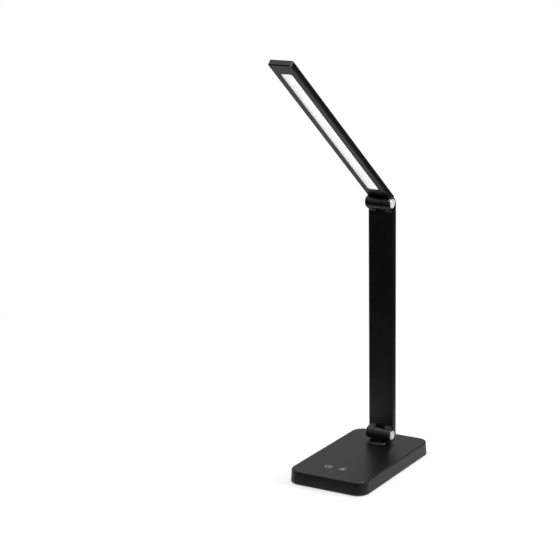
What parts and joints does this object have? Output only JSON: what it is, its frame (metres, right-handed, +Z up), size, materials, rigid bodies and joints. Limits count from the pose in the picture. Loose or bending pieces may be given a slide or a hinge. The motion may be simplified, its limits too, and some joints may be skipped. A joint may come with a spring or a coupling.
{
  "type": "folding led table lamp",
  "caption": "Folding LED table lamp: flat weighted base with touch icons and a charging socket, a swivelling hinged flat arm and a hinged slim head with a long diffused light panel.",
  "frame": {"origin": "centre of the base's underside, on the table", "axes": "+Z up, -Y to the front edge with the touch icons, +X to the lamp's right"},
  "size_m": [0.0842, 0.1971, 0.4135],
  "materials": {
    "satin_black": "satin black moulded plastic",
    "hinge_black": "satin black paint",
    "cap_silver": "turned and brushed",
    "icon_grey": "pale grey inlay",
    "diffuser_white": "opal white",
    "pad_black": "soft matt",
    "steel": "plain",
    "weight_steel": "raw plate",
    "board_green": "solder mask",
    "board_white": "white solder mask",
    "chip_black": "moulded",
    "led_yellow": "phosphor",
    "battery_grey": "foil pouch",
    "lead_black": "insulation",
    "bushing_white": "acetal",
    "foam_grey": "foam"
  },
  "bodies": {
    "base": {"base_cover": "satin_black", "anti_slip_pad": "pad_black", "base_bottom_plate": "satin_black", "base_screws": "steel", "counterweight": "weight_steel", "battery_pack": "battery_grey", "battery_leads": "lead_black", "control_board": "board_green", "control_chips": "chip_black", "board_screws": "steel", "touch_foam_pads": "foam_grey", "power_icon": "icon_grey", "brightness_icon": "icon_grey", "charging_socket_shell": "steel", "charging_socket_tongue": "chip_black", "socket_board": "board_green", "charge_lead": "lead_black", "lamp_lead": "lead_black", "swivel_bushing": "bushing_white"},
    "swivel": {"swivel_bracket": "hinge_black", "swivel_spring_washer": "steel", "swivel_nut": "steel"},
    "arm": {"arm_front_shell": "satin_black", "arm_back_cover": "satin_black", "arm_lead": "lead_black", "lower_hinge_pin": "steel", "lower_friction_washers": "steel", "lower_hinge_caps": "cap_silver", "upper_hinge_pin": "steel", "upper_friction_washers": "steel", "upper_hinge_caps": "cap_silver"},
    "head": {"head_housing": "satin_black", "head_bezel": "satin_black", "diffuser": "diffuser_white", "led_board": "board_white", "led_chips": "led_yellow", "head_hinge_leaf": "hinge_black", "leaf_screws": "steel", "head_lead": "lead_black"}
  },
  "joints": [
    {"name": "base_swivel", "type": "hinge", "parent": "base", "child": "swivel", "pos_m": [0, 0.0433, 0.014], "axis": [0, 0, 1], "range_deg": [-86, 94]},
    {"name": "arm_tilt", "type": "hinge", "parent": "swivel", "child": "arm", "pos_m": [0, 0.0433, 0.0227], "axis": [0.9976, -0.0698, 0], "range_deg": [-20, 85]},
    {"name": "head_tilt", "type": "hinge", "parent": "arm", "child": "head", "pos_m": [0, 0.0433, 0.2597], "axis": [0.9976, -0.0698, 0], "range_deg": [-49, 131]}
  ]
}
